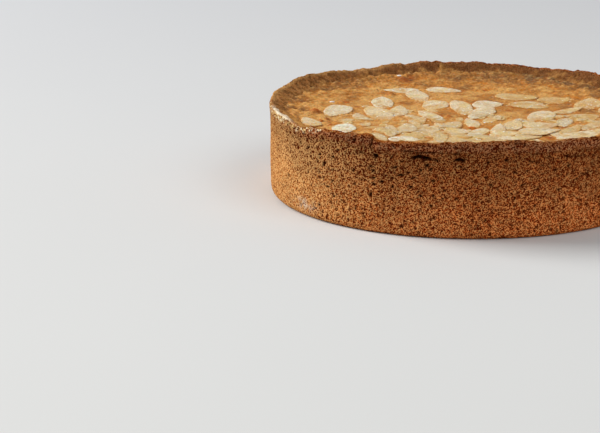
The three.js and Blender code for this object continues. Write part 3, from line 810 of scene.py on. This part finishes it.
# ---- materials --------------------------------------------------------------------------------
class Nodes:
    """A short way to write a material's node tree."""

    def __init__(self, name):
        self.material = bpy.data.materials.new(name)
        self.material.use_nodes = True
        self.tree = self.material.node_tree
        self.tree.nodes.clear()
        self.out = self.tree.nodes.new("ShaderNodeOutputMaterial")
        self.shader = self.tree.nodes.new("ShaderNodeBsdfPrincipled")
        self.tree.links.new(self.shader.outputs[0], self.out.inputs[0])
        self.place = self.tree.nodes.new("ShaderNodeTexCoord").outputs["Object"]

    def put(self, value, socket):
        if isinstance(value, bpy.types.NodeSocket):
            self.tree.links.new(value, socket)
        else:
            socket.default_value = value

    def attribute(self, name):
        n = self.tree.nodes.new("ShaderNodeAttribute")
        n.attribute_name = name
        return n.outputs["Fac"]

    def noise(self, cell_mm, detail=2.0, rough=0.5, at=None, distortion=0.0):
        n = self.tree.nodes.new("ShaderNodeTexNoise")
        self.put(at or self.place, n.inputs["Vector"])
        n.inputs["Scale"].default_value = 1000.0 / cell_mm
        n.inputs["Detail"].default_value = detail
        n.inputs["Roughness"].default_value = rough
        n.inputs["Distortion"].default_value = distortion
        return n.outputs["Fac"]

    def cells(self, cell_mm, at=None, randomness=1.0):
        n = self.tree.nodes.new("ShaderNodeTexVoronoi")
        self.put(at or self.place, n.inputs["Vector"])
        n.inputs["Scale"].default_value = 1000.0 / cell_mm
        n.inputs["Randomness"].default_value = randomness
        return n.outputs["Distance"], n.outputs["Color"]

    def math(self, kind, a, b=0.0, clamp=False):
        n = self.tree.nodes.new("ShaderNodeMath")
        n.operation = kind
        n.use_clamp = clamp
        self.put(a, n.inputs[0])
        self.put(b, n.inputs[1])
        return n.outputs[0]

    def span(self, value, low, high, to_low=0.0, to_high=1.0):
        n = self.tree.nodes.new("ShaderNodeMapRange")
        n.interpolation_type = "SMOOTHSTEP"
        self.put(value, n.inputs["Value"])
        n.inputs["From Min"].default_value = low
        n.inputs["From Max"].default_value = high
        n.inputs["To Min"].default_value = to_low
        n.inputs["To Max"].default_value = to_high
        return n.outputs["Result"]

    def mix(self, share, a, b, kind="MIX"):
        n = self.tree.nodes.new("ShaderNodeMix")
        n.data_type = "RGBA"
        n.blend_type = kind
        n.clamp_factor = True
        self.put(share, n.inputs[0])
        for value, socket in ((a, n.inputs[6]), (b, n.inputs[7])):
            self.put(value if isinstance(value, bpy.types.NodeSocket) else (*value, 1.0), socket)
        return n.outputs[2]

    def moved(self, amount_mm, cell_mm):
        """The place, pushed about by noise, so that cells come out ragged."""
        n = self.tree.nodes.new("ShaderNodeTexNoise")
        self.put(self.place, n.inputs["Vector"])
        n.inputs["Scale"].default_value = 1000.0 / cell_mm
        n.inputs["Detail"].default_value = 1.0
        v = self.tree.nodes.new("ShaderNodeVectorMath")
        v.operation = "MULTIPLY_ADD"
        self.put(n.outputs["Color"], v.inputs[0])
        v.inputs[1].default_value = (amount_mm * MM,) * 3
        self.put(self.place, v.inputs[2])
        return v.outputs[0]

    def times(self, colour, factor):
        """A colour times a colour or a number."""
        v = self.tree.nodes.new("ShaderNodeVectorMath")
        if isinstance(factor, bpy.types.NodeSocket):
            v.operation = "SCALE"
            self.put(factor, v.inputs["Scale"])
        else:
            v.operation = "MULTIPLY"
            v.inputs[1].default_value = factor
        self.put(colour, v.inputs[0])
        return v.outputs[0]

    def stretched(self, x, y, z):
        """The place with its axes scaled."""
        v = self.tree.nodes.new("ShaderNodeVectorMath")
        v.operation = "MULTIPLY"
        self.put(self.place, v.inputs[0])
        v.inputs[1].default_value = (x, y, z)
        return v.outputs[0]

    def bump(self, height, distance_mm, strength=1.0, normal=None):
        n = self.tree.nodes.new("ShaderNodeBump")
        n.inputs["Distance"].default_value = distance_mm * MM
        n.inputs["Strength"].default_value = strength
        self.put(height, n.inputs["Height"])
        if normal is not None:
            self.put(normal, n.inputs["Normal"])
        return n.outputs[0]

    def finish(self, colour, roughness, normal=None, specular=0.3, through=None):
        """through: how much light passes under the surface, how far (mm), and how far each colour gets."""
        self.put(colour, self.shader.inputs["Base Color"])
        self.put(roughness, self.shader.inputs["Roughness"])
        self.shader.inputs["Specular IOR Level"].default_value = specular
        if through is not None:
            self.shader.inputs["Subsurface Weight"].default_value = through[0]
            self.shader.inputs["Subsurface Scale"].default_value = through[1] * MM
            self.shader.inputs["Subsurface Radius"].default_value = through[2]
        if normal is not None:
            self.put(normal, self.shader.inputs["Normal"])
        return self.material


def crust_material():
    m = Nodes("baked_crust")
    names = ("shade", "smoky", "pore", "foam", "flour", "fringe", "pale", "gilt", "inner", "painted_rim_light", "coarse", "thread", "coated", "powder")
    shade, smoky, pore, foam, flour, fringe, pale, gilt, inner, painted_rim_light, coarse, thread, coated, powder = (m.attribute(a) for a in names)
    drift = m.noise(8.0, 3)
    hue = m.noise(1.7, 2, 0.6)
    mottle = m.noise(3.2, 2, 0.5)
    grain = m.noise(0.7, 2, 0.6)
    speck = m.noise(0.45, 1, 0.6)
    near, _ = m.cells(0.62, m.moved(0.4, 0.7))
    open_near, _ = m.cells(0.88, m.moved(0.6, 0.9), 0.85)
    threads = m.noise(0.70, 1, 0.5, m.moved(0.7, 1.0))
    wide, _ = m.cells(1.6, m.moved(0.9, 1.3))
    hole, which = m.cells(2.3, m.moved(1.3, 1.4), 0.9)
    layers = m.noise(2.6, 3, 0.6, m.stretched(1.0, 1.0, 2.8))
    # a foam of small cells: the hollows painted dark, as shade in them; the walls between them lighter, partly the
    # crumb's colour and partly painted highlight
    near = m.math("ADD", near, m.math("MULTIPLY", m.math("MAXIMUM", coarse, m.span(pale, 0.2, 0.7, 0.0, 0.85)), m.math("SUBTRACT", open_near, near)))
    crumb = m.math("ADD", m.math("MULTIPLY", near, 0.92), m.math("MULTIPLY", wide, 0.08))
    crumb = m.math("ADD", crumb, m.math("MULTIPLY", threads, 0.66))
    crumb = m.math("ADD", crumb, m.math("MULTIPLY", speck, 0.20))
    crumb = m.math("SUBTRACT", crumb, m.math("MULTIPLY", foam, 0.10))
    hole = m.math("MULTIPLY", m.span(hole, 0.42, 0.29), m.span(which, 0.62, 0.65))
    hole = m.math("MULTIPLY", hole, m.math("MAXIMUM", coarse, m.span(pale, 0.85, 1.0, 0.85, 0.30)))
    hole = m.math("MULTIPLY", hole, m.math("SUBTRACT", 1.0, inner))
    tint = m.mix(pale, (0.515, 0.140, 0.033), (0.486, 0.211, 0.060))
    tint = m.mix(m.math("MULTIPLY", smoky, m.span(pale, 0.2, 0.9, 1.0, 0.3)), tint, (0.500, 0.150, 0.050))
    mean = m.times(tint, m.math("MULTIPLY", shade, m.span(drift, 0.3, 0.7, 0.92, 1.08)))
    uneven = m.math("MULTIPLY", m.span(mottle, 0.35, 0.65, -1.0, 1.0), m.span(pale, 0.3, 0.9, 0.15, 0.38))
    rim = m.times(m.mix(pale, (0.194, 0.081, 0.0295), (0.330, 0.150, 0.050)), m.math("ADD", 1.0, uneven))
    mean = m.mix(inner, mean, rim)
    body = m.mix(m.span(hue, 0.35, 0.65), m.times(mean, (1.18, 0.84, 0.58)), m.times(mean, (1.02, 1.01, 0.92)))
    # lighter grains between the hollows: partly the crumb's paler colour, partly painted highlight on the ridges
    light = m.mix(m.span(hue, 0.35, 0.65), m.times(mean, (2.02, 2.52, 3.00)), m.times(mean, (1.80, 2.98, 4.30)))
    light = m.mix(pale, light, m.times(mean, (1.56, 1.90, 2.50)))
    light = m.mix(inner, light, m.times(mean, (1.18, 1.24, 1.32)))
    # the hollows' colour, near black: painted shade
    dark = m.times(mean, (0.24, 0.025, 0.0005))
    dark = m.mix(inner, dark, m.times(mean, (0.80, 0.74, 0.68)))
    level = m.math("ADD", crumb, m.math("MULTIPLY", smoky, m.span(layers, 0.3, 0.7, -0.16, 0.16)))
    level = m.math("ADD", level, m.span(pale, 0.5, 1.0, 0.0, 0.09))
    crisp = m.math("ADD", m.span(grain, 0.2, 0.8, -0.20, 0.20), m.span(speck, 0.2, 0.8, -0.10, 0.10))
    level = m.math("ADD", level, m.math("MULTIPLY", crisp, m.math("MULTIPLY", m.span(pale, 0.0, 0.35, 0.70, 1.0), m.math("SUBTRACT", 1.0, inner))))
    level = m.math("ADD", 1.0, m.math("MULTIPLY", m.math("SUBTRACT", level, 0.935), m.math("MULTIPLY", m.span(coarse, 0.0, 1.0, 1.42, 2.75), m.span(shade, 0.65, 1.0, 1.0, 0.83))))
    colour = m.mix(m.span(level, 1.01, 1.22), body, light)
    colour = m.mix(m.span(level, 0.95, 0.80), colour, dark)
    gold = m.mix(m.span(mottle, 0.35, 0.65), (0.46, 0.195, 0.045), (0.64, 0.325, 0.100))
    colour = m.mix(m.math("MULTIPLY", gilt, m.math("MAXIMUM", m.span(grain, 0.35, 0.65, 0.35, 0.85), m.math("MULTIPLY", coated, 0.92))), colour, gold)
    rust = m.mix(m.span(pale, 0.88, 0.99), (0.46, 0.130, 0.019), (0.50, 0.235, 0.070))
    colour = m.mix(m.math("MULTIPLY", fringe, m.span(level, 0.88, 1.06, 0.35, 0.90)), colour, rust)
    # a painted highlight along the lit crest edge
    colour = m.mix(m.math("MULTIPLY", painted_rim_light, 0.85), colour, (0.62, 0.330, 0.115))
    # pits and holes darkened nearly to black in the colour: painted shade in the hollows
    colour = m.mix(m.span(pore, 0.15, 0.85, 0.0, 0.85), colour, (0.050, 0.007, 0.001))
    colour = m.mix(m.span(pore, 0.70, 1.0, 0.0, 0.9), colour, (0.012, 0.003, 0.001))
    colour = m.mix(m.math("MULTIPLY", hole, 0.95), colour, (0.085, 0.008, 0.0005))
    fleck, pick = m.cells(1.3, m.moved(0.5, 0.8))
    colour = m.mix(m.math("MULTIPLY", flour, 0.45), colour, (0.13, 0.052, 0.016))
    dust = m.math("MAXIMUM", m.math("MULTIPLY", m.span(fleck, 0.56, 0.42), m.span(pick, 0.38, 0.42)), m.span(level, 1.0, 1.15, 0.0, 0.6))
    dust = m.math("MULTIPLY", dust, m.span(flour, 0.04, 0.35))
    colour = m.mix(dust, colour, m.mix(m.span(pick, 0.5, 0.75), (0.78, 0.52, 0.20), (0.92, 0.77, 0.50)))
    colour = m.mix(m.math("MULTIPLY", powder, m.span(level, 0.80, 1.05, 0.15, 0.70)), colour, (0.80, 0.66, 0.50))
    colour = m.mix(m.math("MULTIPLY", thread, 0.9), colour, (0.92, 0.80, 0.60))
    height = m.math("SUBTRACT", crumb, m.math("MULTIPLY", hole, 0.7))
    return m.finish(colour, 0.9, m.bump(height, 0.42, 1.0), 0.0)


def filling_material():
    m = Nodes("baked_filling")
    brown, spot, syrup_and_flake_shade, pit, glaze, gleam, crown = (m.attribute(a) for a in ("brown", "spot", "syrup_and_flake_shade", "pit", "glaze", "gleam", "crown"))
    grain = m.noise(1.3, 3, 0.65)
    speck = m.noise(0.9, 1, 0.5)
    spark, which = m.cells(2.6, m.moved(0.8, 1.2))
    drift = m.noise(12.0, 3)
    done = m.math("ADD", brown, m.span(drift, 0.3, 0.7, -0.26, 0.26))
    colour = m.mix(m.span(done, 0.0, 0.45), (0.640, 0.330, 0.094), (0.478, 0.190, 0.038))
    colour = m.mix(m.span(done, 0.42, 0.80), colour, (0.312, 0.127, 0.030))
    colour = m.mix(m.span(done, 0.78, 1.10), colour, (0.182, 0.084, 0.031))
    colour = m.mix(m.math("MULTIPLY", gleam, 0.70), colour, (0.570, 0.195, 0.020))
    # darker low between the bubbles, lighter on their tops: painted shade and painted highlight
    colour = m.mix(m.span(crown, 0.45, 0.15, 0.0, 0.30), colour, (0.350, 0.115, 0.017))
    colour = m.mix(m.span(crown, 0.55, 0.90, 0.0, 0.36), colour, (0.740, 0.430, 0.145))
    colour = m.mix(m.span(grain, 0.46, 0.30, 0.0, 0.24), colour, (0.31, 0.100, 0.015))
    patch = m.math("MULTIPLY", m.span(m.noise(3.6, 2, 0.6), 0.53, 0.65, 0.0, 0.78), m.span(syrup_and_flake_shade, 0.0, 0.5, 0.35, 1.0))
    colour = m.mix(patch, colour, (0.46, 0.135, 0.016))
    # darker orange round the flakes: syrup, and painted contact shade
    colour = m.mix(m.math("MULTIPLY", syrup_and_flake_shade, 0.42), colour, (0.58, 0.205, 0.026))
    colour = m.mix(m.span(spot, 0.15, 0.75, 0.0, 0.92), colour, m.mix(m.span(spot, 0.55, 0.85), (0.36, 0.085, 0.010), (0.62, 0.140, 0.015)))
    # pits darkened: painted shade in them
    colour = m.mix(m.span(pit, 0.2, 1.0, 0.0, 0.40), colour, (0.26, 0.080, 0.012))
    colour = m.mix(m.math("MULTIPLY", glaze, m.span(grain, 0.35, 0.65, 0.20, 0.70)), colour, (0.78, 0.47, 0.15))
    colour = m.times(colour, m.span(m.noise(1.3, 2, 0.7), 0.32, 0.68, 0.80, 1.22))
    # bright dots in the colour near the flakes: painted glints
    painted_glint = m.math("MULTIPLY", m.span(spark, 0.32, 0.18), m.span(which, 0.50, 0.55))
    colour = m.mix(m.math("MULTIPLY", painted_glint, m.span(syrup_and_flake_shade, 0.05, 0.6, 0.08, 0.70)), colour, (0.94, 0.76, 0.46))
    rough = m.span(grain, 0.3, 0.7, 0.46, 0.66)
    height = m.math("ADD", grain, m.math("MULTIPLY", speck, 0.5))
    return m.finish(colour, rough, m.bump(height, 0.40, 0.7), 0.10, (0.20, 1.4, (1.0, 0.45, 0.15)))


def almond_material():
    m = Nodes("flaked_almond")
    names = ("tone", "toast", "along", "across", "number", "gold", "rim", "drowned")
    tone, toast, along, across, number, gold, rim, drowned = (m.attribute(a) for a in names)
    join = m.tree.nodes.new("ShaderNodeCombineXYZ")
    m.put(m.math("MULTIPLY", along, 0.00022), join.inputs[0])
    m.put(m.math("MULTIPLY", across, 0.001), join.inputs[1])
    m.put(number, join.inputs[2])
    veins = m.noise(0.9, 3, 0.6, join.outputs[0])
    patch = m.noise(4.5, 3)
    grain = m.noise(1.4, 3, 0.6)
    blot = m.noise(2.4, 2, 0.6)
    spark, which = m.cells(2.4, m.moved(0.8, 1.2))
    colour = m.mix(m.span(tone, 0.15, 0.45), (0.71, 0.445, 0.185), (0.80, 0.592, 0.360))
    colour = m.mix(m.span(tone, 0.45, 0.75), colour, (0.87, 0.712, 0.505))
    colour = m.mix(m.span(tone, 0.75, 1.0), colour, (0.97, 0.905, 0.73))
    stain = m.math("MULTIPLY", m.span(patch, 0.42, 0.62), m.span(tone, 0.7, 1.0, 0.55, 0.12))
    colour = m.mix(stain, colour, (0.78, 0.49, 0.150))
    colour = m.mix(m.span(veins, 0.54, 0.32, 0.0, 0.22), colour, (0.70, 0.46, 0.210))
    colour = m.mix(m.math("MULTIPLY", toast, 0.55), colour, (0.82, 0.53, 0.120))
    thin = m.noise(6.5, 2)
    colour = m.mix(m.span(thin, 0.47, 0.68, 0.0, 0.50), colour, (0.66, 0.425, 0.215))
    colour = m.mix(m.span(grain, 0.46, 0.30, 0.0, 0.30), colour, (0.64, 0.36, 0.110))
    fine = m.noise(1.3, 2, 0.7)
    colour = m.times(colour, m.span(fine, 0.32, 0.68, 0.83, 1.14))
    # butter and filling soak in from the edges and lie over one side
    soaked = m.span(m.math("ADD", rim, m.span(blot, 0.30, 0.70, -1.3, 1.5)), 1.5, -0.2, 0.0, 0.72)
    soaked = m.math("MULTIPLY", soaked, m.span(tone, 0.40, 0.95, 1.0, 0.45))
    colour = m.mix(soaked, colour, (0.640, 0.320, 0.075))
    over = m.span(m.math("ADD", drowned, m.span(blot, 0.3, 0.7, -0.35, 0.35)), 0.30, 0.90, 0.0, 0.70)
    colour = m.mix(over, colour, (0.640, 0.330, 0.085))
    wet = m.math("MULTIPLY", gold, m.span(grain, 0.30, 0.65, 1.0, 0.45))
    colour = m.mix(m.math("MULTIPLY", wet, 0.85), colour, (0.60, 0.270, 0.050))
    # bright dots in the colour: painted glints
    painted_glint = m.math("MULTIPLY", m.span(spark, 0.30, 0.15), m.span(which, 0.64, 0.68))
    colour = m.mix(m.math("MULTIPLY", painted_glint, 0.90), colour, (0.99, 0.955, 0.84))
    height = m.math("ADD", veins, m.math("MULTIPLY", grain, 0.6))
    return m.finish(colour, m.span(veins, 0.3, 0.7, 0.38, 0.56), m.bump(height, 0.45, 0.8), 0.16, (0.30, 1.6, (1.0, 0.62, 0.30)))


def speck_material():
    m = Nodes("sugar_speck")
    grain = m.noise(0.5, 2)
    colour = m.mix(grain, (0.88, 0.84, 0.78), (0.95, 0.93, 0.90))
    return m.finish(colour, 0.6, m.bump(grain, 0.1, 0.4), 0.4)


def floor_material():
    m = Nodes("pale_floor")
    soft = m.noise(260.0, 2)
    split = m.tree.nodes.new("ShaderNodeSeparateXYZ")
    m.put(m.place, split.inputs[0])
    # the floor is darker further back along +Y: painted shade where the light falls off
    far = m.span(split.outputs[1], -0.6, 1.1)
    colour = m.mix(soft, (0.735, 0.74, 0.73), (0.765, 0.77, 0.76))
    colour = m.mix(far, colour, (0.59, 0.60, 0.625))
    return m.finish(colour, 0.9, None, 0.2)


# ---- loose white specks on the filling -----------------------------------------------------------
def build_specks(height_at):
    """A few sugar grains: small lumps, each a rounded cube pushed out of true."""
    rng = np.random.default_rng(31)
    places = [(-67.9, 16.4), (-29.5, 81.4), (76.0, -20.0)]
    around, rings = 8, 5
    verts, tris, quads = [], [], []
    for x0, y0 in places:
        size = rng.uniform(0.9, 1.15)
        start = sum(len(v) for v in verts)
        points = [[0, 0, 1.0]]
        for r in range(1, rings):
            a = math.pi * r / rings
            for k in range(around):
                b = 2 * math.pi * k / around
                points.append([math.sin(a) * math.cos(b), math.sin(a) * math.sin(b), math.cos(a)])
        points.append([0, 0, -1.0])
        points = np.array(points)
        points = points * (1 + 0.28 * perlin(points * 1.3 + rng.uniform(0, 50, 3), 5))[:, None] * size * np.array([1.25, 1.1, 0.5]) * rng.uniform(0.8, 1.2, 3)
        verts.append(points + [x0, y0, height_at(x0, y0) + size * 0.4])
        n = np.arange(around)
        m = (n + 1) % around
        tris.append(np.stack([np.full(around, start), start + 1 + n, start + 1 + m], -1))
        for r in range(rings - 2):
            o = start + 1 + r * around
            quads.append(np.stack([o + n, o + around + n, o + around + m, o + m], -1))
        o = start + 1 + (rings - 2) * around
        tris.append(np.stack([np.full(around, start + len(points) - 1), o + m, o + n], -1))
    return make_mesh("sugar_specks", np.concatenate(verts), [np.concatenate(tris), np.concatenate(quads)])


# ---- putting it together ------------------------------------------------------------------------
crust = build_crust()
crust.data.materials.append(crust_material())
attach(crust, "root")
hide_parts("crust")

filling, almonds = build_top()
filling.data.materials.append(filling_material())
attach(filling, "root")
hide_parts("filling")
almonds.data.materials.append(almond_material())
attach(almonds, "root")

specks = build_specks(lambda x, y: float(filling_top(np.array([x]), np.array([y]))[0]))
specks.data.materials.append(speck_material())
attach(specks, "root")

# ---- floor, light and camera ----------------------------------------------------------------------
scene = bpy.context.scene
floor = make_mesh(
    "floor",
    np.array([[0.0, 0.0, -0.05]] + [[9000 * math.cos(k * math.pi / 36), 9000 * math.sin(k * math.pi / 36), -0.05] for k in range(72)]),
    [np.array([[0, k + 1, (k + 1) % 72 + 1] for k in range(72)])],
)
floor.data.materials.append(floor_material())


def area_light(name, place, towards, width, height, power, colour):
    data = bpy.data.lights.new(name, "AREA")
    data.shape = "RECTANGLE"
    data.size, data.size_y = width, height
    data.energy = power
    data.color = colour
    obj = bpy.data.objects.new(name, data)
    obj.location = place
    aim = np.array(towards) - np.array(place)
    from mathutils import Vector

    obj.rotation_euler = Vector(aim).to_track_quat("-Z", "Y").to_euler()
    scene.collection.objects.link(obj)
    return obj


area_light("window", (-2.55, 0.88, 1.78), (0.0, 0.0, 0.02), 1.8, 1.5, 108.0, (1.0, 0.985, 0.96))
area_light("fill", (1.7, -2.0, 2.6), (0.0, 0.0, 0.02), 2.4, 2.0, 40.0, (1.0, 0.98, 0.95))

world = bpy.data.worlds.new("studio")
world.use_nodes = True
background = world.node_tree.nodes["Background"]
background.inputs["Color"].default_value = (0.93, 0.96, 1.0, 1.0)
background.inputs["Strength"].default_value = 0.30
scene.world = world

scene.view_settings.view_transform = "Standard"
scene.view_settings.look = "None"

camera_data = bpy.data.cameras.new("camera")
camera_data.sensor_width = 36.0
camera_data.lens = 124.05
camera_data.clip_start, camera_data.clip_end = 0.01, 50.0
camera = bpy.data.objects.new("camera", camera_data)
camera.location = (-0.08476, -1.04899, 0.27103)
camera.rotation_euler = (math.radians(74.722), 0.0, 0.0)
scene.collection.objects.link(camera)
scene.camera = camera
